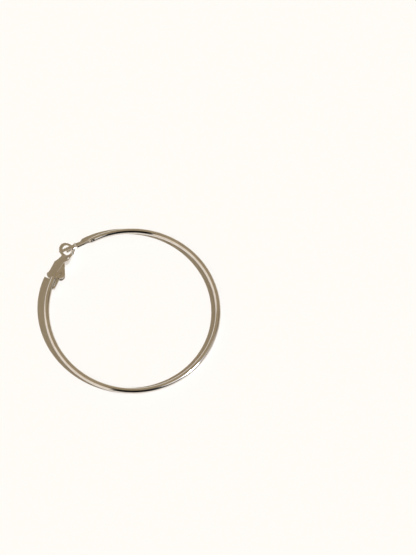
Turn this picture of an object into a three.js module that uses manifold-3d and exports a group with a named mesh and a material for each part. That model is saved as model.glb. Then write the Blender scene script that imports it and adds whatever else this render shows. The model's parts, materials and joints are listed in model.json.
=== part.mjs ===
import * as THREE from 'three';
import { mergeVertices } from 'three/addons/utils/BufferGeometryUtils.js';
import Module from 'manifold-3d';

// A large hoop earring with an ear post and a hinged snap lever, closed, as it lies on a table.
// Millimetres, +Z up. In the hoop's own plane +Y points at the middle of the clasp gap.

// Hoop
const hoopDiameter = 70.2;
const tubeDiameter = 2.2;
const gapAngle = 38.6;
const tubeSides = 16;
const tubeSteps = 84;

// Ear post: a cap that tapers from the tube to the wire, with a spigot in the tube's socket
const postLength = 11.8;
const postDiameter = 1;
const postLean = 1.55;
const capLength = 1.8;
const socketWall = 0.35;
const socketDepth = 3;
const spigotClearance = 0.12;
const seamWidth = 0.25;
const notchDepth = 0.07;
const notchWidth = 0.5;
const notchBeforeEye = 1.5;

// Hinge: its place from the tube's end and inner side, its pin and the bracket that holds it
const hingeReach = 1.94;
const hingeInset = 0.78;
const pinDiameter = 0.9;
const pinClearance = 0.07;
const pinProud = 0.14;
const bracketThickness = 0.85;
const bracketOverlap = 4.6;
const solderDepth = 0.35;
const solderStep = 0.3;

// Lever: a folded sheet with two ears round the hinge and an upright eye that takes the post
const leverWidth = 2.8;
const earSplay = 0.5;
const leafWidth = 4.2;
const waistWidth = 2.4;
const webThickness = 0.4;
const earThickness = 0.35;
const sideClearance = 0.25;
const earClearance = 0.3;
const knuckleClearance = 0.35;
const backSlope = 9.2;
const eyeBore = 4.2;
const eyeBoreWidth = 4.8;
const eyeRim = 0.9;
const eyeThickness = 0.6;
const eyeRounding = 0.15;
const eyeTurn = 8.1;
const eyeDrop = 0.65;
const tipBeyondEye = 3.4;
const tipRounding = 0.8;

// The lever's bends, from the hinge to the eye, as shares of the distance between them
const leverShares = { splay: 0.15, shoulder: 0.45, stepFoot: 0.55, waist: 0.77 };
const stepFootDrop = 0.18;
const bendRadius = 0.55;

const wasm = await Module();
wasm.setup();

const radians = THREE.MathUtils.degToRad;
const tubeRadius = tubeDiameter / 2;
const centreRadius = hoopDiameter / 2 - tubeRadius;
const claspEnd = radians(90 + gapAngle / 2);
const postEnd = radians(90 - gapAngle / 2);
const earRadius = Math.hypot(hingeReach, hingeInset) - earClearance;
const knuckleRadius = earRadius - webThickness - knuckleClearance;
const bracketWidth = leverWidth - 2 * (earThickness + sideClearance);
const eyeHalfLength = eyeBore / 2 + eyeRim;
const eyeHalfWidth = eyeBoreWidth / 2 + eyeRim;

// A point of the hoop's plane, from its angle and its distance from the hoop's centre
function polar(angle, radius) {
  return new THREE.Vector2(Math.cos(angle), Math.sin(angle)).multiplyScalar(radius);
}

// The post runs from the middle of the tube's end, and leans a little out of the tube's line
const postRoot = polar(postEnd, centreRadius);
const postDirection = polar(postEnd + Math.PI / 2 - radians(postLean), 1);

// The hinge lies past the tube's other end, just inside the hoop
const hinge = polar(claspEnd, centreRadius - tubeRadius - hingeInset)
  .addScaledVector(polar(claspEnd - Math.PI / 2, 1), hingeReach);

// The eye stands across the post. Its turn is measured from the line between hinge and eye,
// so the line and the eye's centre are settled together in a few passes.
function placeEye() {
  const crossing = postRoot.clone().addScaledVector(postDirection, postLength - tipBeyondEye);
  let heading = crossing.clone().sub(hinge).angle();
  let centre = crossing;
  for (let pass = 0; pass < 12; pass += 1) {
    centre = crossing.clone().addScaledVector(polar(heading + radians(eyeTurn), 1), -eyeDrop);
    heading = centre.clone().sub(hinge).angle();
  }
  return { centre, heading, reach: centre.distanceTo(hinge) };
}
const eye = placeEye();

// Turns a closed geometry into a solid, with its faces pointing out
function solid(geometry) {
  const source = geometry.index ? geometry.toNonIndexed() : geometry.clone();
  source.deleteAttribute('normal');
  source.deleteAttribute('uv');
  const merged = mergeVertices(source, 1e-5);
  const corners = Uint32Array.from(merged.index.array);
  const make = () => new wasm.Manifold(new wasm.Mesh({
    numProp: 3,
    vertProperties: Float32Array.from(merged.attributes.position.array),
    triVerts: corners,
  }));
  const body = make();
  if (body.volume() > 0) return body;
  for (let i = 0; i < corners.length; i += 3) {
    [corners[i + 1], corners[i + 2]] = [corners[i + 2], corners[i + 1]];
  }
  return make();
}

// Turns a solid back into a geometry
function geometryOf(body) {
  const mesh = body.getMesh();
  const geometry = new THREE.BufferGeometry();
  geometry.setAttribute('position', new THREE.BufferAttribute(Float32Array.from(mesh.vertProperties), 3));
  geometry.setIndex(new THREE.BufferAttribute(Uint32Array.from(mesh.triVerts), 1));
  geometry.computeVertexNormals();
  return geometry;
}

// A shape of the XY plane made into a slab from one height to another
function slab(shape, low, high, segments = 12) {
  const geometry = new THREE.ExtrudeGeometry(shape, {
    depth: high - low, bevelEnabled: false, curveSegments: segments,
  });
  return geometry.translate(0, 0, low);
}

// A round bar along Z at a point of the plane
function barAt(point, radius, low, high, sides = 24) {
  const geometry = new THREE.CylinderGeometry(radius, radius, high - low, sides);
  geometry.rotateX(Math.PI / 2);
  return geometry.translate(point.x, point.y, (low + high) / 2);
}

// The tube's centreline, from the clasp end round the far side to the post end
class HoopLine extends THREE.Curve {
  getPoint(t, target = new THREE.Vector3()) {
    const angle = claspEnd + t * (postEnd + 2 * Math.PI - claspEnd);
    return target.set(Math.cos(angle), Math.sin(angle), 0).multiplyScalar(centreRadius);
  }
}

function tubeSolid() {
  const section = new THREE.Shape().absarc(0, 0, tubeRadius, 0, 2 * Math.PI);
  const tube = solid(new THREE.ExtrudeGeometry(section, {
    steps: tubeSteps, curveSegments: tubeSides / 2, extrudePath: new HoopLine(),
  }));
  const bore = new THREE.CylinderGeometry(tubeRadius - socketWall, tubeRadius - socketWall, 2 * socketDepth, 16);
  bore.rotateZ(postDirection.angle() - Math.PI / 2);
  bore.translate(postRoot.x, postRoot.y, 0);
  return tube.subtract(solid(bore));
}

// The bracket: a flat bar soldered along the tube's inner side, with a knuckle round the pin
function bracketSolid() {
  const innerSide = centreRadius - tubeRadius;
  const tipAngle = claspEnd + bracketOverlap / innerSide;
  const tip = polar(tipAngle, innerSide - bracketThickness / 2 + solderDepth / 4);
  const along = tip.clone().sub(hinge).normalize();
  const side = new THREE.Vector2(-along.y, along.x).multiplyScalar(bracketThickness / 2);
  const bar = new THREE.Shape([
    hinge.clone().sub(side), tip.clone().sub(side), tip.clone().add(side), hinge.clone().add(side),
  ]);
  const fillet = new THREE.Shape([
    polar(tipAngle - solderStep / innerSide, innerSide - bracketThickness / 2),
    polar(tipAngle - solderStep / innerSide, innerSide + solderDepth),
    polar(claspEnd + solderStep / innerSide, innerSide + solderDepth),
    polar(claspEnd + solderStep / innerSide, innerSide - bracketThickness),
  ]);
  const half = bracketWidth / 2;
  return solid(slab(bar, -half, half))
    .add(solid(slab(fillet, -half + webThickness / 4, half - webThickness / 4)))
    .add(solid(barAt(hinge, knuckleRadius, -half, half)))
    .subtract(solid(barAt(hinge, pinDiameter / 2 + pinClearance, -leverWidth, leverWidth)));
}

// The post is turned round its own axis: spigot, cap, wire with its snap notch, rounded tip
function postGeometry() {
  const wire = postDiameter / 2;
  const spigot = tubeRadius - socketWall - spigotClearance;
  const notch = postLength - tipBeyondEye - notchBeforeEye;
  const profile = new THREE.Path();
  profile.moveTo(0, -socketDepth + seamWidth);
  profile.lineTo(spigot, -socketDepth + seamWidth);
  profile.lineTo(spigot, seamWidth);
  profile.lineTo(tubeRadius * 0.96, seamWidth);
  profile.quadraticCurveTo(tubeRadius, seamWidth + capLength * 0.25, wire * 1.4, capLength);
  profile.lineTo(wire, capLength * 1.25);
  profile.lineTo(wire, notch - notchWidth / 2);
  profile.lineTo(wire - notchDepth, notch);
  profile.lineTo(wire, notch + notchWidth / 2);
  profile.lineTo(wire, postLength - tipRounding);
  profile.quadraticCurveTo(wire, postLength, wire / 4, postLength);
  profile.lineTo(0, postLength);
  return new THREE.LatheGeometry(profile.getPoints(4), 16);
}

// A pin with slightly domed ends that stand proud of the ears
function pinGeometry() {
  const end = leverWidth / 2 + pinProud;
  const radius = pinDiameter / 2;
  const profile = new THREE.Path();
  profile.moveTo(0, -end);
  profile.quadraticCurveTo(radius, -end, radius, -end + 2 * pinProud);
  profile.lineTo(radius, end - 2 * pinProud);
  profile.quadraticCurveTo(radius, end, 0, end);
  return new THREE.LatheGeometry(profile.getPoints(4), 24).rotateX(Math.PI / 2);
}

// A line through the given points with its corners rounded
function roundedLine(points, radius) {
  const line = new THREE.Path().moveTo(points[0].x, points[0].y);
  for (let i = 1; i < points.length - 1; i += 1) {
    const before = points[i - 1].clone().sub(points[i]).setLength(radius).add(points[i]);
    const after = points[i + 1].clone().sub(points[i]).setLength(radius).add(points[i]);
    line.lineTo(before.x, before.y);
    line.quadraticCurveTo(points[i].x, points[i].y, after.x, after.y);
  }
  const last = points[points.length - 1];
  line.lineTo(last.x, last.y);
  return line.getPoints(4);
}

// A band of even thickness on both sides of a line
function bandShape(line, thickness) {
  const edge = (sign) => line.map((point, i) => {
    const before = line[Math.max(i - 1, 0)];
    const after = line[Math.min(i + 1, line.length - 1)];
    const run = after.clone().sub(before).normalize();
    return new THREE.Vector2(-run.y, run.x).multiplyScalar(sign * thickness / 2).add(point);
  });
  return new THREE.Shape([...edge(-1), ...edge(1).reverse()]);
}

// A point on the lever's eye plane, at a distance from the eye's centre away from the hinge
function onEye(distance) {
  return polar(radians(eyeTurn), distance).add(new THREE.Vector2(eye.reach, 0));
}

// The lever's side view: its back from the hinge to the shoulder, the step and the neck
function leverLine() {
  const footRadius = earRadius - webThickness / 2;
  const slope = radians(backSlope);
  const foot = new THREE.Vector2(Math.sin(slope), Math.cos(slope)).multiplyScalar(footRadius);
  const shoulderX = leverShares.shoulder * eye.reach;
  const shoulder = new THREE.Vector2(shoulderX, foot.y - (shoulderX - foot.x) * Math.tan(slope));
  const stepFoot = new THREE.Vector2(leverShares.stepFoot * eye.reach, -stepFootDrop * earRadius);
  return [foot, shoulder, stepFoot, onEye(-eyeHalfLength - eyeRim / 2), onEye(-eyeBore / 2 - eyeRim / 4)];
}

// Half the lever's width along its length: a leaf that is widest at the step, with a waist at the eye
function halfWidths() {
  const half = leverWidth / 2;
  const at = (share, width) => new THREE.Vector2(share * eye.reach, width);
  return [
    new THREE.Vector2(-earRadius, half),
    at(leverShares.splay, half),
    at(leverShares.shoulder, half + earSplay),
    at(leverShares.stepFoot, leafWidth / 2),
    at(leverShares.waist, waistWidth / 2),
    new THREE.Vector2(eye.reach - eyeBore / 2 - eyeRim / 4, waistWidth / 2),
  ];
}

// The lever's front view
function leverOutline() {
  const side = roundedLine(halfWidths(), bendRadius);
  const other = side.map((point) => new THREE.Vector2(point.x, -point.y));
  return new THREE.Shape([...other, ...side.reverse()]);
}

// One ear: a round end about the hinge that tapers away along the back to the shoulder
function earShape(foot, shoulder) {
  const reach = shoulder.length();
  const tangent = shoulder.angle() - Math.acos(earRadius / reach);
  const ear = new THREE.Shape().moveTo(shoulder.x, shoulder.y);
  ear.lineTo(foot.x, foot.y);
  ear.absarc(0, 0, earRadius, foot.angle() + radians(8), tangent + 2 * Math.PI, false);
  ear.lineTo(shoulder.x, shoulder.y);
  return ear;
}

// The ear on one side of the lever. Past the hinge it leans out with the back's edge.
function earSolid(shape, side) {
  const outside = leverWidth / 2;
  const geometry = slab(shape, outside - earThickness, outside, 16).scale(1, 1, side);
  const places = geometry.attributes.position;
  const start = leverShares.splay * eye.reach;
  const end = leverShares.shoulder * eye.reach;
  for (let i = 0; i < places.count; i += 1) {
    const share = Math.max(0, (places.getX(i) - start) / (end - start));
    places.setZ(i, places.getZ(i) + side * earSplay * share);
  }
  return solid(geometry);
}

// The eye: a flat oval ring with rounded edges, standing on edge across the post
function eyeSolid() {
  const oval = (path, half, wide, clockwise) => path.absellipse(0, 0, half, wide, 0, 2 * Math.PI, clockwise);
  const ring = oval(new THREE.Shape(), eyeHalfLength - eyeRounding, eyeHalfWidth - eyeRounding, false);
  const bore = oval(new THREE.Path(), eyeBore / 2 + eyeRounding, eyeBoreWidth / 2 + eyeRounding, true);
  ring.holes.push(bore);
  const depth = eyeThickness - 2 * eyeRounding;
  const geometry = new THREE.ExtrudeGeometry(ring, {
    depth, curveSegments: 18, bevelSize: eyeRounding, bevelThickness: eyeRounding, bevelSegments: 2,
  });
  geometry.translate(0, 0, -depth / 2);
  geometry.rotateX(Math.PI / 2);
  geometry.rotateZ(radians(eyeTurn));
  return solid(geometry.translate(eye.reach, 0, 0));
}

function leverSolid() {
  const line = leverLine();
  const band = solid(slab(bandShape(roundedLine(line, bendRadius), webThickness), -leafWidth, leafWidth));
  const outline = slab(leverOutline(), -eyeHalfWidth, eyeHalfWidth).rotateX(Math.PI / 2);
  const ear = earShape(line[0], line[1]);
  return band.intersect(solid(outline))
    .add(earSolid(ear, 1))
    .add(earSolid(ear, -1))
    .add(eyeSolid())
    .subtract(solid(barAt(new THREE.Vector2(), pinDiameter / 2 + pinClearance, -leverWidth, leverWidth)));
}

// Polished metal of each piece
function metal(color, roughness) {
  return new THREE.MeshStandardMaterial({ color, roughness, metalness: 1 });
}

function piece(name, geometry, material) {
  const mesh = new THREE.Mesh(geometry, material);
  mesh.name = name;
  return mesh;
}

const hoop = piece('hoop', geometryOf(tubeSolid().add(bracketSolid())), metal(0xd3cdc4, 0.08));

const post = piece('ear_post', geometryOf(solid(postGeometry())), metal(0xcdc6bb, 0.12));
post.position.set(postRoot.x, postRoot.y, 0);
post.rotation.z = postDirection.angle() - Math.PI / 2;

const pin = piece('hinge_pin', geometryOf(solid(pinGeometry())), metal(0xbdb5a8, 0.2));
pin.position.set(hinge.x, hinge.y, 0);

const lever = new THREE.Group();
lever.position.set(hinge.x, hinge.y, 0);
lever.rotation.z = eye.heading;
lever.add(piece('clasp_lever', geometryOf(leverSolid()), metal(0xc6beb1, 0.14)));

// The earring rests on the lowest point of the eye and on the far side of the hoop,
// so the clasp side is raised by the height that the eye reaches below the tube.
const lying = new THREE.Group();
lying.add(hoop, post, pin, lever);
const restTilt = Math.asin((eyeHalfWidth - tubeRadius) / (eye.centre.length() + centreRadius));
const eyeBearing = eye.centre.angle() - Math.PI / 2;
lying.setRotationFromAxisAngle(new THREE.Vector3(Math.cos(eyeBearing), Math.sin(eyeBearing), 0), restTilt);

// The origin is the middle of the footprint, on the table
const bounds = new THREE.Box3().setFromObject(lying, true);
const middle = bounds.getCenter(new THREE.Vector3());
lying.position.set(-middle.x, -middle.y, -bounds.min.z);

const earring = new THREE.Group();
earring.add(lying);

export default earring;
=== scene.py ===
"""The looks of a hoop earring with a hinged snap lever, lying on a white card in low sun."""

import json
import math

import bmesh
import bpy
from mathutils import Matrix, Vector


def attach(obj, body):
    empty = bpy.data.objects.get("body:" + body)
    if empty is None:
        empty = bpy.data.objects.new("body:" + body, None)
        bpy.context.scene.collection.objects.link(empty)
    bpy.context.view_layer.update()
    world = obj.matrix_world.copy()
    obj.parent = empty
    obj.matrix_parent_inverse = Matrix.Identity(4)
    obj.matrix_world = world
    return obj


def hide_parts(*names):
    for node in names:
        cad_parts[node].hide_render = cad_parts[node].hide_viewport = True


bl_info = {
    "name": "Hoop Earring",
    "version": (1, 0, 0),
    "blender": (4, 5, 0),
    "location": "View3D > Sidebar > Earring",
    "description": "Builds a polished hoop earring with an ear post and a snap lever",
    "category": "Add Mesh",
}

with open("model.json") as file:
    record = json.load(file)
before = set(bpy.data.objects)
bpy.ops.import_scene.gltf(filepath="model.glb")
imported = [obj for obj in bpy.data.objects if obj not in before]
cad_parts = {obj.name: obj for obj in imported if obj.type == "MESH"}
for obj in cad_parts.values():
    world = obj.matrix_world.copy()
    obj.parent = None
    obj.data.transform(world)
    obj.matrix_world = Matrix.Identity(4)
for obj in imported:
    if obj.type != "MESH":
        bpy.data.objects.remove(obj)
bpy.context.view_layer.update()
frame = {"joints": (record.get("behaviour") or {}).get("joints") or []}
LEVER_JOINT = frame["joints"][0]

MM = 0.001
FULL_TURN = 2 * math.pi

# Points this close are merged, in any piece and where the stretches of the lever's sheet meet
MERGE_DISTANCE = 0.0005 * MM
SHEET_MERGE_DISTANCE = 0.002 * MM

# Points this close to a plane count as in it
SAME_PLACE = 0.001 * MM

# How finely the round forms are divided
TUBE_SIDES = 40
TUBE_STEPS = 200
KNUCKLE_SIDES = 48
SOLDER_SIDES = 20
SOLDER_STEPS = 24
POST_SIDES = 40
PIN_SIDES = 36
EAR_SIDES = 60
EYE_SIDES = 84
SHEET_COLUMNS = 10

# Places along the lever, as shares of the way from the pin to the eye's middle
SPLAY_START, SHOULDER, STEP_FOOT, WAIST = 0.15, 0.45, 0.55, 0.77

# How far the step's foot lies below the lever's line, as a share of the ears' round end
STEP_DROP = 0.18

# How much lower the bracket's bar is at its far end
BAR_TIP_TAPER = 0.12

# How thick the solder's ends are as a share of its middle
SOLDER_END = 0.35

# Radius of the flat at the post's tip as a share of the wire's
TIP_FLAT = 0.22

# How deep the pin's domed ends run, in heights of the head that stands out of the ears
DOME_DEPTH = 1.2

# From the view's own axes (x right, y away, z up) to the frame. The gap is 53.75 degrees left of away.
TO_FRAME = Matrix.Rotation(math.radians(-53.75), 3, "Z")

# The camera's height over the card, roll, distance and lens. The hoop's middle lies left of and nearer
# than the point of the card that the middle of the view shows.
CAMERA_ELEVATION = math.radians(66.46)
CAMERA_ROLL = math.radians(5.51)
CAMERA_DISTANCE = 712.7 * MM
CAMERA_LENS = 114.85
HOOP_IN_VIEW = Vector((-28.56, -17.92, 0)) * MM

# The card and the sun, whose disc is a little wide so that shadows soften as they run
CARD_HALF = 1.5
SUN_WIDTH = math.radians(1.3)
TO_SUN = Vector((0.641, -0.2405, 0.7287))

# What the metal mirrors, in view axes. A lobe is a direction and two cosines, of the angles from it
# where the lobe starts and where it is full. A shape with several lobes is what they have in common.
HAZE_LOBES = [((0.75, -0.15, 0.64), 0.88, 0.93)]
WALL_LOBES = [((-0.45, -0.89, 0.0), 0.05, 0.25), ((0.0, 0.0, -1.0), -0.84, -0.76)]
WINDOW_LOBES = [((0.415, -0.277, 0.868), 0.982, 0.992)]
DARK_PATCH_LOBES = [((0.6, 0.3, 0.745), 0.988, 0.997)]
LEANING_SHAPE_LOBES = [
    ((0.0, -1.0, -0.035), -0.02, 0.02),
    ((1.0, 0.0, -0.137), -0.245, -0.215),
    ((-0.752, 0.0, -0.659), -0.835, -0.805),
]


def length(name, mm, description):
    return bpy.props.FloatProperty(name=name, description=description, default=mm * MM, unit="LENGTH")


def angle(name, degrees, description):
    return bpy.props.FloatProperty(
        name=name, description=description, default=math.radians(degrees), subtype="ANGLE"
    )


def colour(name, hex_colour, description):
    return bpy.props.StringProperty(name=name, description=description, default=hex_colour)


def strength(name, value, description):
    return bpy.props.FloatProperty(name=name, description=description, default=value)


class EarringSizes(bpy.types.PropertyGroup):
    """Sizes of the metalwork, as the maker would order it"""

    hoop_diameter: length("Hoop diameter", 70.2, "Outer diameter of the hoop")
    tube_diameter: length("Tube diameter", 2.2, "Outer diameter of the hoop's tube")
    gap_angle: angle("Clasp gap", 38.6, "Part of the circle left open")
    post_length: length("Post length", 11.8, "From the tube's end to the post's tip")
    post_diameter: length("Post diameter", 1.0, "Thickness of the ear wire")
    post_lean: angle("Post lean", 1.55, "How far the post leans out of the tube's line")
    cap_length: length("Cap length", 2.07, "From the seam to the end of the taper")
    cap_rim: length("Cap rim", 0.12, "Rounding of the cap's wide end")
    seam_width: length("Seam", 0.25, "Open joint between tube and cap")
    socket_wall: length("Socket wall", 0.35, "Wall of the tube round the spigot")
    socket_depth: length("Socket depth", 3.0, "Depth of the spigot's socket")
    spigot_clearance: length("Spigot clearance", 0.12, "Gap between the spigot and its socket")
    notch_depth: length("Notch depth", 0.07, "Depth of the post's snap notch")
    notch_width: length("Notch width", 0.6, "Length of the snap notch along the post")
    notch_before_eye: length("Notch place", 1.5, "From the snap notch to the eye")
    tip_beyond_eye: length("Tip beyond eye", 3.4, "How far the post's tip passes the eye")
    tip_rounding: length("Tip rounding", 0.7, "Length of the post's rounded end")
    hinge_reach: length("Hinge reach", 1.94, "From the tube's end to the pin")
    hinge_inset: length("Hinge inset", 0.78, "From the tube's inner side to the pin")
    pin_diameter: length("Pin diameter", 0.9, "Thickness of the hinge pin")
    pin_clearance: length("Pin clearance", 0.07, "Running gap round the pin")
    pin_proud: length("Pin head", 0.14, "How far the pin stands out of the ears")
    bracket_thickness: length("Bracket thickness", 0.85, "Height of the soldered bar")
    bracket_overlap: length("Bracket overlap", 4.6, "Length of the soldered stretch")
    bracket_bite: length("Bracket bite", 0.09, "How far the bar's far end sinks into the tube")
    solder_start: length("Solder start", 0.35, "From the tube's end to the solder")
    solder_stop: length("Solder stop", 0.3, "From the solder to the bar's far end")
    solder_inset: length("Solder inset", 0.12, "From the tube's inner side to the solder's middle")
    solder_height: length("Solder height", 0.68, "Height of the solder between bar and tube")
    solder_width: length("Solder width", 1.72, "Width of the solder across the bar")
    lever_width: length("Lever width", 2.8, "Across the two ears at the hinge")
    ear_splay: length("Ear splay", 0.5, "How far each ear leans out at the shoulder")
    leaf_width: length("Leaf width", 4.2, "Lever width at the foot of its step")
    waist_width: length("Waist width", 2.4, "Lever width at its waist")
    sheet_thickness: length("Sheet", 0.4, "Thickness of the folded sheet")
    ear_thickness: length("Ear thickness", 0.35, "Thickness of the ears")
    ear_clearance: length("Ear clearance", 0.3, "From the ears' round end to the tube's corner")
    side_clearance: length("Side clearance", 0.25, "Gap between each ear and the knuckle")
    knuckle_clearance: length("Knuckle clearance", 0.35, "Gap between the knuckle and the lever's back")
    back_slope: angle("Back slope", 9.2, "Slope of the lever's back")
    bend_radius: length("Bend radius", 0.55, "Length of each half of a bend in the neck")
    eye_bore: length("Eye bore", 4.2, "Length of the eye's opening along the lever")
    eye_bore_width: length("Eye bore width", 4.8, "Width of the eye's opening across the lever")
    eye_rim: length("Eye rim", 0.9, "Width of the eye's rim")
    eye_thickness: length("Eye thickness", 0.6, "Thickness of the eye")
    eye_turn: angle("Eye turn", 8.1, "Turn of the eye from the lever's line")
    eye_drop: length("Eye drop", 0.65, "How far the eye's middle lies past the post's line")
    edge_radius: length("Edge radius", 0.06, "Tumbled rounding of the cut edges")
    fold_radius: length("Fold radius", 0.25, "Bend of the sheet between the back and the ears")


class EarringLook(bpy.types.PropertyGroup):
    """Colours of the finishes and of the light, as sRGB hex values"""

    plate: colour("Plating", "#DED9D2", "Bright plated metal")
    tarnish: colour("Tarnish", "#B9AB97", "Faint warm film on the plate")
    solder: colour("Solder", "#C9C1B4", "Plated soft solder at the bracket")
    card: colour("Card", "#CBC1AE", "Card under the earring, white once the sun is on it")
    sun: colour("Sun", "#D4E2FF", "Sunlight")
    room: colour("Room", "#AE9F85", "Warm walls and ceiling round the card")
    wall: colour("Lit wall", "#FFF4E8", "Sunlit wall on the left")
    window: colour("Window", "#FFFFFF", "Small bright window overhead")
    haze: colour("Haze", "#CBC5BF", "Pale wall on the right")
    shade: colour("Shade", "#1A1714", "Dark shape that leans over the card")
    sun_strength: strength("Sun strength", 7.9, "Strength of the sunlight")
    wall_strength: strength("Wall strength", 1.05, "Glow of the lit wall")
    window_strength: strength("Window strength", 1.3, "Glow of the window")


def linear(hex_colour):
    """An sRGB hex value as a linear colour with alpha"""
    channels = [int(hex_colour[i:i + 2], 16) / 255 for i in (1, 3, 5)]
    return [c / 12.92 if c <= 0.04045 else ((c + 0.055) / 1.055) ** 2.4 for c in channels] + [1.0]


def sizes():
    return bpy.context.scene.earring_sizes


def look():
    return bpy.context.scene.earring_look


# Places in the hoop's own plane, whose +Y points at the middle of the clasp gap
def polar(turn, radius):
    return Vector((math.cos(turn), math.sin(turn), 0)) * radius


def tube_radius():
    return sizes().tube_diameter / 2


def centre_radius():
    return sizes().hoop_diameter / 2 - tube_radius()


def clasp_end():
    return (math.pi + sizes().gap_angle) / 2


def post_end():
    return (math.pi - sizes().gap_angle) / 2


def hinge_point():
    inner = centre_radius() - tube_radius()
    s = sizes()
    return polar(clasp_end(), inner - s.hinge_inset) + polar(clasp_end() - math.pi / 2, s.hinge_reach)


def ear_radius():
    """Round end of the ears, which clears the corner of the tube"""
    return math.hypot(sizes().hinge_reach, sizes().hinge_inset) - sizes().ear_clearance


def eye_half_length():
    return sizes().eye_bore / 2 + sizes().eye_rim


def post_line():
    """The middle of the tube's end, and the way the post runs from it"""
    return polar(post_end(), centre_radius()), polar(post_end() + math.pi / 2 - sizes().post_lean, 1)


def hoop_place():
    """From the hoop's own plane to the frame. The joint's axis is the plane's normal, and the joint's
    place is the pin's."""
    normal = Vector(LEVER_JOINT["axis"]).normalized()
    turn = Vector((0, 0, 1)).rotation_difference(normal).to_matrix().to_4x4()
    centre = Vector(LEVER_JOINT["pos_m"]) - turn @ hinge_point()
    return Matrix.Translation(centre) @ turn


def lever_place():
    """From the lever's line, hinge to eye along +X, to the frame"""
    heading, _ = lever_line()
    return hoop_place() @ Matrix.Translation(hinge_point()) @ Matrix.Rotation(heading, 4, "Z")


def lever_line():
    """Heading and length of the line from the pin to the eye's centre. The eye is turned from that line,
    so both are settled together in a few passes."""
    s = sizes()
    root, run = post_line()
    crossing = root + run * (s.post_length - s.tip_beyond_eye)
    centre = crossing
    for _ in range(12):
        line = centre - hinge_point()
        heading = math.atan2(line.y, line.x)
        centre = crossing - polar(heading + s.eye_turn, s.eye_drop)
    line = centre - hinge_point()
    return math.atan2(line.y, line.x), line.length


def node(tree, kind, links=(), **settings):
    """Adds one node with its settings, and links (socket, output) pairs into it"""
    made = tree.nodes.new(kind)
    for name, value in settings.items():
        if name.startswith("in_"):
            made.inputs[name[3:].replace("_", " ")].default_value = value
        else:
            setattr(made, name, value)
    for socket, output in links:
        tree.links.new(output, made.inputs[socket])
    return made


def new_material(name):
    material = bpy.data.materials.new(name)
    material.use_nodes = True
    tree = material.node_tree
    tree.nodes.clear()
    shader = node(tree, "ShaderNodeBsdfPrincipled")
    node(tree, "ShaderNodeOutputMaterial", [("Surface", shader.outputs[0])])
    return material, tree, shader


def plated_metal(name, polish, wear, film, stretch=(1, 1, 1)):
    """Bright plate over brass. Polish is the gloss of the clean plate and wear what the duller patches add,
    so highlights break up softly. Hairlines run along the piece, and the buffed edges stay glossier.
    Real hairlines are too fine to show, so they are drawn about 0.07 mm wide."""
    material, tree, shader = new_material(name)
    lay = node(tree, "ShaderNodeAttribute", attribute_name="lay")
    edge = node(tree, "ShaderNodeAttribute", attribute_name="edge")
    along = node(tree, "ShaderNodeVectorMath", [(0, lay.outputs["Vector"])], operation="MULTIPLY")
    along.inputs[1].default_value = stretch
    mottle = node(tree, "ShaderNodeTexNoise", [("Vector", lay.outputs["Vector"])],
                  in_Scale=1 / (2.2 * MM), in_Detail=4.0, in_Roughness=0.6)
    hairline = node(tree, "ShaderNodeTexNoise", [("Vector", along.outputs[0])],
                    in_Scale=1 / (0.07 * MM), in_Detail=3.0, in_Roughness=0.7)
    dull = node(tree, "ShaderNodeMapRange", [("Value", mottle.outputs[0])],
                in_From_Min=0.35, in_From_Max=0.7, in_To_Max=wear)
    scuff = node(tree, "ShaderNodeMath", [(0, hairline.outputs[0]), (2, dull.outputs[0])],
                 operation="MULTIPLY_ADD")
    scuff.inputs[1].default_value = wear
    buffed = node(tree, "ShaderNodeMath", [(0, edge.outputs["Fac"]), (2, scuff.outputs[0])],
                  operation="MULTIPLY_ADD")
    buffed.inputs[1].default_value = -wear
    gloss = node(tree, "ShaderNodeMath", [(0, buffed.outputs[0])], operation="ADD", use_clamp=True)
    gloss.inputs[1].default_value = polish
    tree.links.new(gloss.outputs[0], shader.inputs["Roughness"])
    patch = node(tree, "ShaderNodeMath", [(0, dull.outputs[0])], operation="MULTIPLY")
    patch.inputs[1].default_value = film / wear
    tint = node(tree, "ShaderNodeMix", [("Factor", patch.outputs[0])], data_type="RGBA")
    tint.inputs[6].default_value = linear(look().plate)
    tint.inputs[7].default_value = linear(look().tarnish)
    tree.links.new(tint.outputs[2], shader.inputs["Base Color"])
    ripple = node(tree, "ShaderNodeTexNoise", [("Vector", lay.outputs["Vector"])],
                  in_Scale=1 / (1.6 * MM), in_Detail=2.0)
    lean = node(tree, "ShaderNodeBump", [("Height", ripple.outputs[0])],
                in_Strength=0.5, in_Distance=0.012 * MM)
    scratch = node(tree, "ShaderNodeBump", [("Height", hairline.outputs[0]), ("Normal", lean.outputs[0])],
                   in_Strength=0.2, in_Distance=0.0008 * MM)
    tree.links.new(scratch.outputs[0], shader.inputs["Normal"])
    shader.inputs["Metallic"].default_value = 1.0
    return material


def solder_metal():
    """Soft solder that has flowed and been plated over: duller and lumpier than the tube"""
    material, tree, shader = new_material("plated_soft_solder")
    lay = node(tree, "ShaderNodeAttribute", attribute_name="lay")
    lumps = node(tree, "ShaderNodeTexNoise", [("Vector", lay.outputs["Vector"])],
                 in_Scale=1 / (0.5 * MM), in_Detail=3.0)
    bump = node(tree, "ShaderNodeBump", [("Height", lumps.outputs[0])],
                in_Strength=0.4, in_Distance=0.05 * MM)
    tree.links.new(bump.outputs[0], shader.inputs["Normal"])
    matt = node(tree, "ShaderNodeMapRange", [("Value", lumps.outputs[0])], in_To_Min=0.2, in_To_Max=0.4)
    tree.links.new(matt.outputs[0], shader.inputs["Roughness"])
    shader.inputs["Base Color"].default_value = linear(look().solder)
    shader.inputs["Metallic"].default_value = 1.0
    return material


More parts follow.
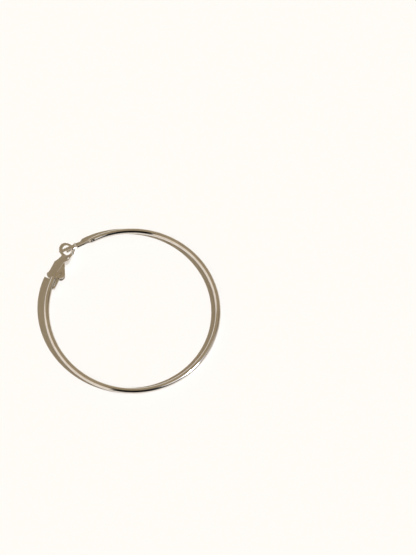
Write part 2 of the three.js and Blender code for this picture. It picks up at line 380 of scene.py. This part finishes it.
def white_card():
    """Matt card with a little tooth and no shine. It is tinted, and looks white in the strong sun."""
    material, tree, shader = new_material("matt_white_card")
    place = node(tree, "ShaderNodeTexCoord")
    tooth = node(tree, "ShaderNodeTexNoise", [("Vector", place.outputs["Object"])],
                 in_Scale=1 / (1.5 * MM), in_Detail=5.0)
    bump = node(tree, "ShaderNodeBump", [("Height", tooth.outputs[0])],
                in_Strength=0.04, in_Distance=0.02 * MM)
    tree.links.new(bump.outputs[0], shader.inputs["Normal"])
    shader.inputs["Base Color"].default_value = linear(look().card)
    shader.inputs["Roughness"].default_value = 0.9
    shader.inputs["Specular IOR Level"].default_value = 0.1
    return material


def add_piece(mesh, name, place, material, body, replaced, lay=None):
    """Puts a finished bmesh in the scene with its place in its mesh, and lets it ride on its body. Two
    attributes serve the metal: lay, each point's own place along the piece, and edge, 1 on its edges."""
    bmesh.ops.remove_doubles(mesh, verts=mesh.verts, dist=MERGE_DISTANCE)
    bmesh.ops.recalc_face_normals(mesh, faces=mesh.faces)
    lay_layer = mesh.verts.layers.float_vector.new("lay")
    edge_layer = mesh.verts.layers.float.new("edge")
    for v in mesh.verts:
        v[lay_layer] = lay(v.co) if lay else v.co
    for e in sharp_edges(mesh, 15) + [e for e in mesh.edges if e.is_boundary]:
        for v in e.verts:
            v[edge_layer] = 1.0
    for face in mesh.faces:
        face.smooth = True
    mesh.transform(place)
    data = bpy.data.meshes.new(name)
    mesh.to_mesh(data)
    mesh.free()
    data.materials.append(material)
    piece = bpy.data.objects.new(name, data)
    bpy.context.scene.collection.objects.link(piece)
    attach(piece, body)
    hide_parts(replaced)
    return piece


def along_hoop(point):
    """Length along the tube, distance from its middle line, and height"""
    turn = math.atan2(-point.x, point.y)
    return Vector((turn * centre_radius(), math.hypot(point.x, point.y) - centre_radius(), point.z))


def sharp_edges(mesh, degrees):
    """Edges between faces that meet at more than an angle"""
    limit = math.radians(degrees)
    return [e for e in mesh.edges if len(e.link_faces) == 2 and e.calc_face_angle(0) > limit]


def round_edges(mesh, edges, radius, segments=3):
    bmesh.ops.bevel(
        mesh, geom=edges, offset=radius, offset_type="OFFSET", affect="EDGES", segments=segments,
        profile=0.5, material=-1, clamp_overlap=True,
    )


def turned(points, segments):
    """A closed turning about Z from (radius, height) points that start and end on the axis"""
    mesh = bmesh.new()
    line = [mesh.verts.new((radius, 0, height)) for radius, height in points]
    for a, b in zip(line, line[1:]):
        mesh.edges.new((a, b))
    bmesh.ops.spin(
        mesh, geom=mesh.verts[:] + mesh.edges[:], cent=(0, 0, 0), axis=(0, 0, 1), dvec=(0, 0, 0),
        angle=FULL_TURN, steps=segments, use_merge=True, use_duplicate=False,
    )
    bmesh.ops.remove_doubles(mesh, verts=mesh.verts, dist=MERGE_DISTANCE)
    return mesh


def arc(centre, radius, start, end, steps):
    """(radius, height) points of an arc in a turning's profile"""
    turn = [start + (end - start) * i / steps for i in range(steps + 1)]
    return [(centre[0] + radius * math.cos(a), centre[1] + radius * math.sin(a)) for a in turn]


class EARRING_OT_tube(bpy.types.Operator):
    """Bent tube of the hoop, with a closed clasp end and a socket at the post's end"""

    bl_idname = "earring.tube"
    bl_label = "Hoop tube"

    def execute(self, context):
        s = sizes()
        mesh = bmesh.new()
        start = polar(clasp_end(), centre_radius())
        upright = Matrix.Rotation(clasp_end(), 4, "Z") @ Matrix.Rotation(math.pi / 2, 4, "X")
        bmesh.ops.create_circle(
            mesh, cap_ends=False, segments=TUBE_SIDES, radius=tube_radius(),
            matrix=Matrix.Translation(start) @ upright,
        )
        bmesh.ops.spin(
            mesh, geom=mesh.verts[:] + mesh.edges[:], cent=(0, 0, 0), axis=(0, 0, 1), dvec=(0, 0, 0),
            angle=FULL_TURN - s.gap_angle, steps=TUBE_STEPS, use_merge=False, use_duplicate=False,
        )
        rims = [e for e in mesh.edges if len(e.link_faces) == 1]
        bmesh.ops.recalc_face_normals(mesh, faces=mesh.faces)
        closed = bmesh.ops.holes_fill(mesh, edges=rims, sides=0)["faces"]
        root, _ = post_line()
        post_face = min(closed, key=lambda f: (f.calc_center_median() - root).length)
        bmesh.ops.inset_region(mesh, faces=[post_face], thickness=s.socket_wall, use_even_offset=True)
        floor = bmesh.ops.extrude_face_region(mesh, geom=[post_face])
        bmesh.ops.delete(mesh, geom=[post_face], context="FACES_ONLY")
        bmesh.ops.translate(
            mesh, verts=[v for v in floor["geom"] if isinstance(v, bmesh.types.BMVert)],
            vec=polar(post_end() - math.pi / 2, s.socket_depth),
        )
        round_edges(mesh, sharp_edges(mesh, 60), s.edge_radius)
        polished = plated_metal("mirror_polished_plate", 0.06, 0.04, 0.3, stretch=(0.02, 1, 1))
        add_piece(mesh, "hoop_tube", hoop_place(), polished, "hoop_body", "hoop",
                  lay=along_hoop)
        return {"FINISHED"}


class EARRING_OT_bracket(bpy.types.Operator):
    """Flat bar soldered along the tube, with a knuckle round the pin, and its solder"""

    bl_idname = "earring.bracket"
    bl_label = "Hinge bracket"

    def execute(self, context):
        s = sizes()
        inner = centre_radius() - tube_radius()
        tip_angle = clasp_end() + s.bracket_overlap / inner
        tip = polar(tip_angle, inner - s.bracket_thickness / 2 + s.bracket_bite)
        along = tip - hinge_point()
        heading = math.atan2(along.y, along.x)
        knuckle = ear_radius() - s.sheet_thickness - s.knuckle_clearance
        width = s.lever_width - 2 * (s.ear_thickness + s.side_clearance)
        mesh = bmesh.new()
        ring = flat_ring(mesh, s.pin_diameter / 2 + s.pin_clearance, knuckle, KNUCKLE_SIDES)
        half = s.bracket_thickness / 2
        margin = 0.02
        reach = math.asin(half / knuckle) + margin
        facing = [e for e in ring if abs(math.atan2(middle(e).y, middle(e).x)) < reach]
        for share in (0.3, 0.6, 0.85, 1.0):
            squeeze = 1 - BAR_TIP_TAPER if share == 1.0 else 1.0
            facing = pull_edges(mesh, facing, along.length * share, half * squeeze)
        solid = bmesh.ops.extrude_face_region(mesh, geom=mesh.faces[:])
        bmesh.ops.translate(mesh, verts=[v for v in solid["geom"] if isinstance(v, bmesh.types.BMVert)],
                            vec=(0, 0, width))
        bmesh.ops.translate(mesh, verts=mesh.verts, vec=(0, 0, -width / 2))
        bmesh.ops.recalc_face_normals(mesh, faces=mesh.faces)
        round_edges(mesh, sharp_edges(mesh, 50), s.edge_radius)
        place = hoop_place() @ Matrix.Translation(hinge_point()) @ Matrix.Rotation(heading, 4, "Z")
        tumbled = plated_metal("tumbled_plate", 0.12, 0.1, 0.6, stretch=(0.1, 1, 1))
        add_piece(mesh, "hinge_bracket", place, tumbled, "hoop_body", "hoop")
        self.solder(inner, tip_angle)
        return {"FINISHED"}

    def solder(self, inner, tip_angle):
        """A flattened bead that fills the corner between bar and tube and thins out at both ends"""
        s = sizes()
        mesh = bmesh.new()
        first = clasp_end() + s.solder_start / inner
        span = tip_angle - s.solder_stop / inner - first
        upright = Matrix.Rotation(first, 4, "Z") @ Matrix.Rotation(math.pi / 2, 4, "X")
        middle_radius = inner - s.solder_inset
        flattened = Matrix.Diagonal((s.solder_height / 2, s.solder_width / 2, 1, 1))
        bmesh.ops.create_circle(
            mesh, cap_ends=True, segments=SOLDER_SIDES, radius=1.0,
            matrix=Matrix.Translation(polar(first, middle_radius)) @ upright @ flattened,
        )
        bmesh.ops.spin(
            mesh, geom=mesh.verts[:] + mesh.edges[:] + mesh.faces[:], cent=(0, 0, 0), axis=(0, 0, 1),
            dvec=(0, 0, 0), angle=span, steps=SOLDER_STEPS, use_merge=False, use_duplicate=False,
        )
        for v in mesh.verts:
            turn = math.atan2(v.co.y, v.co.x)
            share = max(0.0, min(1.0, (turn - first) / span))
            swell = SOLDER_END + (1 - SOLDER_END) * math.sqrt(max(0.0, 1 - (2 * share - 1) ** 4))
            core = polar(turn, middle_radius)
            v.co = core + (v.co - core) * swell
        add_piece(mesh, "bracket_solder", hoop_place(), solder_metal(), "hoop_body", "hoop",
                  lay=along_hoop)


def middle(edge):
    return (edge.verts[0].co + edge.verts[1].co) / 2


def edges_between(made, verts):
    """Those of the things made by an extrusion that are edges between the given points"""
    return [e for e in made if isinstance(e, bmesh.types.BMEdge) and all(v in verts for v in e.verts)]


def flat_ring(mesh, inner, outer, segments):
    """A flat ring of faces in the XY plane. Returns its outer edges."""
    hole = bmesh.ops.create_circle(mesh, cap_ends=False, segments=segments, radius=inner)["verts"]
    rim = bmesh.ops.create_circle(mesh, cap_ends=False, segments=segments, radius=outer)["verts"]
    loops = [e for e in mesh.edges if e.verts[0] in hole and e.verts[1] in hole]
    outside = [e for e in mesh.edges if e.verts[0] in rim and e.verts[1] in rim]
    bmesh.ops.bridge_loops(mesh, edges=loops + outside)
    return outside


def pull_edges(mesh, edges, distance, half):
    """Extrudes a chain of edges to X = distance, spread evenly to half a height on each side of the line"""
    made = bmesh.ops.extrude_edge_only(mesh, edges=edges)["geom"]
    verts = sorted((v for v in made if isinstance(v, bmesh.types.BMVert)), key=lambda v: v.co.y)
    for i, v in enumerate(verts):
        v.co = (distance, half * (2 * i / (len(verts) - 1) - 1), v.co.z)
    return edges_between(made, verts)


class EARRING_OT_post(bpy.types.Operator):
    """Turned ear post: spigot, cap, wire with its snap notch, rounded tip"""

    bl_idname = "earring.post"
    bl_label = "Ear post"

    def execute(self, context):
        s = sizes()
        wire = s.post_diameter / 2
        spigot = tube_radius() - s.socket_wall - s.spigot_clearance
        rim = s.cap_rim
        notch = s.post_length - s.tip_beyond_eye - s.notch_before_eye
        shoulder = s.seam_width + rim
        points = [(0, s.seam_width - s.socket_depth), (spigot, s.seam_width - s.socket_depth)]
        points += [(spigot, s.seam_width), (tube_radius() - rim, s.seam_width)]
        points += arc((tube_radius() - rim, shoulder), rim, -math.pi / 2, 0, 4)
        points += self.taper(tube_radius(), shoulder, wire, s.seam_width + s.cap_length)
        for sixths, share in ((-3, 0), (-2, 0.4), (-1, 1), (1, 1), (2, 0.4), (3, 0)):
            points.append((wire - s.notch_depth * share, notch + s.notch_width * sixths / 6))
        for degrees in range(0, 91, 10):
            bend = math.radians(degrees)
            radius = wire * (TIP_FLAT + (1 - TIP_FLAT) * math.cos(bend))
            points.append((radius, s.post_length - s.tip_rounding * (1 - math.sin(bend))))
        points += [(0, s.post_length)]
        mesh = turned(points, POST_SIDES)
        root, run = post_line()
        heading = math.atan2(run.y, run.x)
        lying = Matrix.Rotation(heading, 4, "Z") @ Matrix.Rotation(math.pi / 2, 4, "Y")
        drawn = plated_metal("drawn_wire_plate", 0.09, 0.06, 0.4, stretch=(1, 1, 0.05))
        place = hoop_place() @ Matrix.Translation(root) @ lying
        add_piece(mesh, "post", place, drawn, "hoop_body", "ear_post")
        return {"FINISHED"}

    def taper(self, wide, low, narrow, high):
        """A cap that rounds over at its shoulder and runs hollow into the wire"""
        steps = 14
        points = []
        for i in range(1, steps + 1):
            share = i / steps
            fall = share * share * (3 - 2 * share)
            points.append((wide + (narrow - wide) * fall, low + (high - low) * share))
        return points


class EARRING_OT_pin(bpy.types.Operator):
    """Hinge pin with peened ends"""

    bl_idname = "earring.pin"
    bl_label = "Hinge pin"

    def execute(self, context):
        s = sizes()
        radius = s.pin_diameter / 2
        end = s.lever_width / 2 + s.pin_proud
        dome = [(radius * math.sin(a), end - s.pin_proud * (1 - math.cos(a)) * DOME_DEPTH)
                for a in (math.radians(d) for d in range(0, 91, 15))]
        points = [(r, -z) for r, z in dome] + [(r, z) for r, z in reversed(dome)]
        mesh = turned(points, PIN_SIDES)
        add_piece(mesh, "pin", hoop_place() @ Matrix.Translation(hinge_point()),
                  plated_metal("peened_plate", 0.07, 0.05, 0.6), "hoop_body", "hinge_pin")
        return {"FINISHED"}


class EARRING_OT_lever(bpy.types.Operator):
    """Folded lever: two ears, a back, a stepped neck and the upright eye"""

    bl_idname = "earring.lever"
    bl_label = "Clasp lever"

    def execute(self, context):
        s = sizes()
        _, reach = lever_line()
        mesh = bmesh.new()
        self.ears(mesh, reach)
        shoulder = self.splay(mesh, reach)
        self.neck(mesh, shoulder, reach)
        bmesh.ops.remove_doubles(mesh, verts=mesh.verts, dist=SHEET_MERGE_DISTANCE)
        bmesh.ops.recalc_face_normals(mesh, faces=mesh.faces)
        round_edges(mesh, sharp_edges(mesh, 60), s.fold_radius, segments=4)
        self.weigh(mesh, reach)
        stamped = plated_metal("stamped_sheet_plate", 0.08, 0.08, 0.5, stretch=(0.1, 1, 1))
        lever = add_piece(mesh, "lever", lever_place(), stamped, "lever", "clasp_lever")
        self.thicken(lever)
        return {"FINISHED"}

    def weigh(self, mesh, reach):
        """Marks how thick the sheet is at each point, as a share of the eye's thickness. The eye is taken
        a hundredth too long, so that the points of its rim are in it."""
        s = sizes()
        thickness = mesh.verts.layers.deform.verify()
        eye = Vector((reach, 0, 0))
        for v in mesh.verts:
            in_eye = (Vector((v.co.x, v.co.y, 0)) - eye).length < eye_half_length() * 1.01
            v[thickness][0] = 1.0 if in_eye else s.sheet_thickness / s.eye_thickness

    def thicken(self, lever):
        """Gives the sheet its thickness, with the thicker eye, and tumbles its edges"""
        s = sizes()
        group = lever.vertex_groups.new(name="thickness")
        wall = lever.modifiers.new("sheet", "SOLIDIFY")
        wall.thickness = s.eye_thickness
        wall.vertex_group = group.name
        wall.offset = 0
        rounding = lever.modifiers.new("tumbled edges", "BEVEL")
        rounding.width = s.edge_radius
        rounding.segments = 3
        rounding.limit_method = "ANGLE"
        rounding.angle_limit = math.radians(50)

    def half_width(self, x, reach):
        """Half the lever's width at a distance from the pin: a leaf, widest at the step, with a waist"""
        s = sizes()
        half = s.lever_width / 2
        stations = [(0.0, half), (SPLAY_START, half), (SHOULDER, half + s.ear_splay),
                    (STEP_FOOT, s.leaf_width / 2), (WAIST, s.waist_width / 2), (1.0, s.waist_width / 2)]
        for (near, wide), (far, next_wide) in zip(stations, stations[1:]):
            if x <= far * reach:
                share = max(0.0, (x / reach - near) / (far - near))
                return wide + (next_wide - wide) * share
        return s.waist_width / 2

    def ears(self, mesh, reach):
        """Both ears, and the back between them, with parallel sides"""
        s = sizes()
        half = (s.lever_width - s.ear_thickness) / 2
        round_end = ear_radius()
        mid = round_end - s.sheet_thickness / 2
        up = math.pi / 2 - s.back_slope
        foot = polar(up, mid)
        shoulder_x = SHOULDER * reach
        shoulder = Vector((shoulder_x, foot.y - (shoulder_x - foot.x) * math.tan(s.back_slope), 0))
        flat_ring(mesh, s.pin_diameter / 2 + s.pin_clearance, round_end, EAR_SIDES)
        rim = [v for v in mesh.verts if v.co.length > round_end * 0.9]
        lead = math.atan2(shoulder.y, shoulder.x)
        lower = lead - math.acos(round_end / shoulder.length)
        corner = min(rim, key=lambda v: abs(self.bearing(v) - lead))
        heel = min(rim, key=lambda v: abs(self.bearing(v) - up))
        top = []
        for v in rim:
            turn = self.bearing(v)
            if v is corner:
                v.co = shoulder
            elif v is heel:
                v.co = foot
            elif lead < turn < up:
                v.co = polar(turn, mid / math.cos(turn - up))
            elif lower < turn < lead:
                v.co = polar(turn, round_end / math.cos(turn - lower))
            if v in (corner, heel) or lead < turn < up:
                top.append(v)
        bmesh.ops.translate(mesh, verts=mesh.verts, vec=(0, 0, half))
        fold = [e for e in mesh.edges if e.verts[0] in top and e.verts[1] in top and len(e.link_faces) == 1]
        for _ in range(SHEET_COLUMNS):
            made = bmesh.ops.extrude_edge_only(mesh, edges=fold)["geom"]
            verts = [v for v in made if isinstance(v, bmesh.types.BMVert)]
            bmesh.ops.translate(mesh, verts=verts, vec=(0, 0, -2 * half / SHEET_COLUMNS))
            fold = edges_between(made, verts)
        ear = [f for f in mesh.faces if all(abs(v.co.z - half) < SAME_PLACE for v in f.verts)]
        twin = bmesh.ops.duplicate(mesh, geom=ear + list({v for f in ear for v in f.verts}))["geom"]
        for v in twin:
            if isinstance(v, bmesh.types.BMVert):
                v.co.z = -half
        bmesh.ops.remove_doubles(mesh, verts=mesh.verts, dist=SHEET_MERGE_DISTANCE)

    def splay(self, mesh, reach):
        """Leans the ears outward with the back's edges. Returns the back's points at the shoulder."""
        s = sizes()
        straight = s.lever_width / 2
        for v in mesh.verts:
            v.co.z *= 1 + (self.half_width(v.co.x, reach) - straight) / (straight - s.ear_thickness / 2)
        tip = max(v.co.x for v in mesh.verts)
        return [v for v in mesh.verts if v.co.x > tip - SAME_PLACE]

    def bearing(self, vert):
        return math.atan2(vert.co.y, vert.co.x)

    def neck(self, mesh, shoulder, reach):
        """Carries the sheet from the shoulder down the step and along the neck to the eye's rim"""
        s = sizes()
        eye = Vector((reach, 0, 0))
        rim = eye_half_length()
        start = Vector((shoulder[0].co.x, shoulder[0].co.y, 0))
        corners = [start, Vector((STEP_FOOT * reach, -STEP_DROP * ear_radius(), 0)),
                   eye + polar(s.eye_turn, -rim - s.eye_rim / 2), eye + polar(s.eye_turn, -rim)]
        edges = [e for e in mesh.edges if e.verts[0] in shoulder and e.verts[1] in shoulder]
        for centre in self.rounded(corners, s.bend_radius)[1:-1]:
            made = bmesh.ops.extrude_edge_only(mesh, edges=edges)["geom"]
            verts = sorted((v for v in made if isinstance(v, bmesh.types.BMVert)), key=lambda v: v.co.z)
            half = self.half_width(centre.x, reach)
            for i, v in enumerate(verts):
                v.co = centre + Vector((0, 0, half * (2 * i / (len(verts) - 1) - 1)))
            edges = edges_between(made, verts)
        made = bmesh.ops.extrude_edge_only(mesh, edges=edges)["geom"]
        last = sorted((v for v in made if isinstance(v, bmesh.types.BMVert)), key=lambda v: v.co.z)
        self.eye(mesh, eye, last)

    def rounded(self, corners, radius):
        """A line through the corners with each bend rounded and even steps between the bends"""
        line = [corners[0]]
        for before, corner, after in zip(corners, corners[1:], corners[2:]):
            back, ahead = before - corner, after - corner
            enter = corner + back.normalized() * min(radius, back.length * 0.45)
            leave = corner + ahead.normalized() * min(radius, ahead.length * 0.45)
            line += [line[-1].lerp(enter, i / 4) for i in (1, 2, 3)]
            for i in range(5):
                line.append(enter.lerp(corner, i / 4).lerp(corner.lerp(leave, i / 4), i / 4))
        return line + [corners[-1]]

    def eye(self, mesh, eye, last):
        """The eye's oval ring, whose rim takes the last row of the neck"""
        s = sizes()
        before = set(mesh.verts)
        inset = 0.02 * MM
        flat_ring(mesh, s.eye_bore / 2 + inset, eye_half_length() - inset, EYE_SIDES)
        ring = [v for v in mesh.verts if v not in before]
        for v in ring:
            v.co.y += (s.eye_bore_width - s.eye_bore) / 2 * math.sin(self.bearing(v))
        outer = [v for v in ring if math.hypot(v.co.x, v.co.y) > s.eye_bore_width / 2 + 0.1 * MM]
        upright = Matrix.Rotation(s.eye_turn, 4, "Z") @ Matrix.Rotation(math.pi / 2, 4, "X")
        bmesh.ops.transform(mesh, matrix=Matrix.Translation(eye) @ upright, verts=ring)
        outer.sort(key=lambda v: (v.co - eye).dot(polar(s.eye_turn, 1)))
        facing = sorted(outer[:len(last)], key=lambda v: v.co.z)
        for a, b in zip(last, facing):
            a.co = b.co


class EARRING_OT_stage(bpy.types.Operator):
    """White card, low sun, the room that the metal mirrors, and the camera"""

    bl_idname = "earring.stage"
    bl_label = "Stage"

    def execute(self, context):
        self.card()
        self.sun(context)
        self.room(context)
        self.camera(context)
        return {"FINISHED"}

    def card(self):
        mesh = bmesh.new()
        bmesh.ops.create_grid(mesh, x_segments=1, y_segments=1, size=CARD_HALF)
        data = bpy.data.meshes.new("card")
        mesh.to_mesh(data)
        mesh.free()
        data.materials.append(white_card())
        card = bpy.data.objects.new("card", data)
        bpy.context.scene.collection.objects.link(card)

    def sun(self, context):
        light = bpy.data.lights.new("sun", "SUN")
        light.energy = look().sun_strength
        light.angle = SUN_WIDTH
        light.color = linear(look().sun)[:3]
        lamp = bpy.data.objects.new("sun", light)
        lamp.rotation_mode = "QUATERNION"
        lamp.rotation_quaternion = (TO_FRAME @ TO_SUN).to_track_quat("Z", "Y")
        context.scene.collection.objects.link(lamp)

    def room(self, context):
        """A warm room with a lit wall on the left, a pale one on the right, a small window overhead with a
        dark patch near it, and the dark shape that leans over the card and draws the tube's black line"""
        world = bpy.data.worlds.new("room")
        context.scene.world = world
        world.use_nodes = True
        tree = world.node_tree
        tree.nodes.clear()
        place = node(tree, "ShaderNodeTexCoord")
        v = look()
        shapes = [
            (v.haze, 1.0, HAZE_LOBES),
            (v.wall, v.wall_strength, WALL_LOBES),
            (v.window, v.window_strength, WINDOW_LOBES),
            (v.shade, 1.0, DARK_PATCH_LOBES),
            (v.shade, 1.0, LEANING_SHAPE_LOBES),
        ]
        colour_now = node(tree, "ShaderNodeRGB").outputs[0]
        colour_now.default_value = linear(v.room)
        for hex_colour, glow, lobes in shapes:
            mask = self.lobe(tree, place, *lobes[0])
            for other in lobes[1:]:
                both = [(0, self.lobe(tree, place, *other)), (1, mask)]
                mask = node(tree, "ShaderNodeMath", both, operation="MULTIPLY").outputs[0]
            mix = node(tree, "ShaderNodeMix", [("Factor", mask), (6, colour_now)], data_type="RGBA")
            mix.inputs[7].default_value = [c * glow for c in linear(hex_colour)[:3]] + [1.0]
            colour_now = mix.outputs[2]
        back = node(tree, "ShaderNodeBackground", [("Color", colour_now)])
        node(tree, "ShaderNodeOutputWorld", [("Surface", back.outputs[0])])

    def lobe(self, tree, place, direction, low, high):
        """How near a direction of the room is to the given one, which is in view axes, from 0 to 1"""
        aim = node(tree, "ShaderNodeVectorMath", [(0, place.outputs["Generated"])], operation="DOT_PRODUCT")
        aim.inputs[1].default_value = (TO_FRAME @ Vector(direction)).normalized()
        edge = node(tree, "ShaderNodeMapRange", [("Value", aim.outputs["Value"])],
                    interpolation_type="SMOOTHSTEP", in_From_Min=low, in_From_Max=high)
        return edge.outputs[0]

    def camera(self, context):
        """Long lens, high above the card, rolled a little, with the earring left of and below the middle"""
        ahead = Vector((0, math.cos(CAMERA_ELEVATION), -math.sin(CAMERA_ELEVATION)))
        right = Vector((1, 0, 0))
        up = right.cross(ahead)
        side = right * math.cos(CAMERA_ROLL) + up * math.sin(CAMERA_ROLL)
        top = up * math.cos(CAMERA_ROLL) - right * math.sin(CAMERA_ROLL)
        turn = Matrix((TO_FRAME @ side, TO_FRAME @ top, TO_FRAME @ -ahead)).transposed()
        centre = hoop_place().to_translation()
        centre.z = 0
        data = bpy.data.cameras.new("camera")
        data.sensor_width = 36
        data.lens = CAMERA_LENS
        data.clip_start, data.clip_end = 0.05, 20
        camera = bpy.data.objects.new("camera", data)
        spot = centre + TO_FRAME @ (-ahead * CAMERA_DISTANCE - HOOP_IN_VIEW)
        camera.matrix_world = Matrix.Translation(spot) @ turn.to_4x4()
        context.scene.collection.objects.link(camera)
        context.scene.camera = camera


class EARRING_PT_panel(bpy.types.Panel):
    """Lists the pieces of the earring"""

    bl_label = "Hoop Earring"
    bl_idname = "EARRING_PT_panel"
    bl_space_type = "VIEW_3D"
    bl_region_type = "UI"
    bl_category = "Earring"

    def draw(self, context):
        column = self.layout.column(align=True)
        for operator in OPERATORS:
            column.operator(operator.bl_idname)


OPERATORS = (
    EARRING_OT_tube, EARRING_OT_bracket, EARRING_OT_post,
    EARRING_OT_pin, EARRING_OT_lever, EARRING_OT_stage,
)
CLASSES = (EarringSizes, EarringLook, *OPERATORS, EARRING_PT_panel)


def register():
    for cls in CLASSES:
        bpy.utils.register_class(cls)
    bpy.types.Scene.earring_sizes = bpy.props.PointerProperty(type=EarringSizes)
    bpy.types.Scene.earring_look = bpy.props.PointerProperty(type=EarringLook)


def unregister():
    del bpy.types.Scene.earring_look
    del bpy.types.Scene.earring_sizes
    for cls in reversed(CLASSES):
        bpy.utils.unregister_class(cls)


def main():
    register()
    bpy.context.scene.view_settings.view_transform = "Standard"
    bpy.ops.earring.tube()
    bpy.ops.earring.bracket()
    bpy.ops.earring.post()
    bpy.ops.earring.pin()
    bpy.ops.earring.lever()
    bpy.ops.earring.stage()


if __name__ == "__main__":
    main()
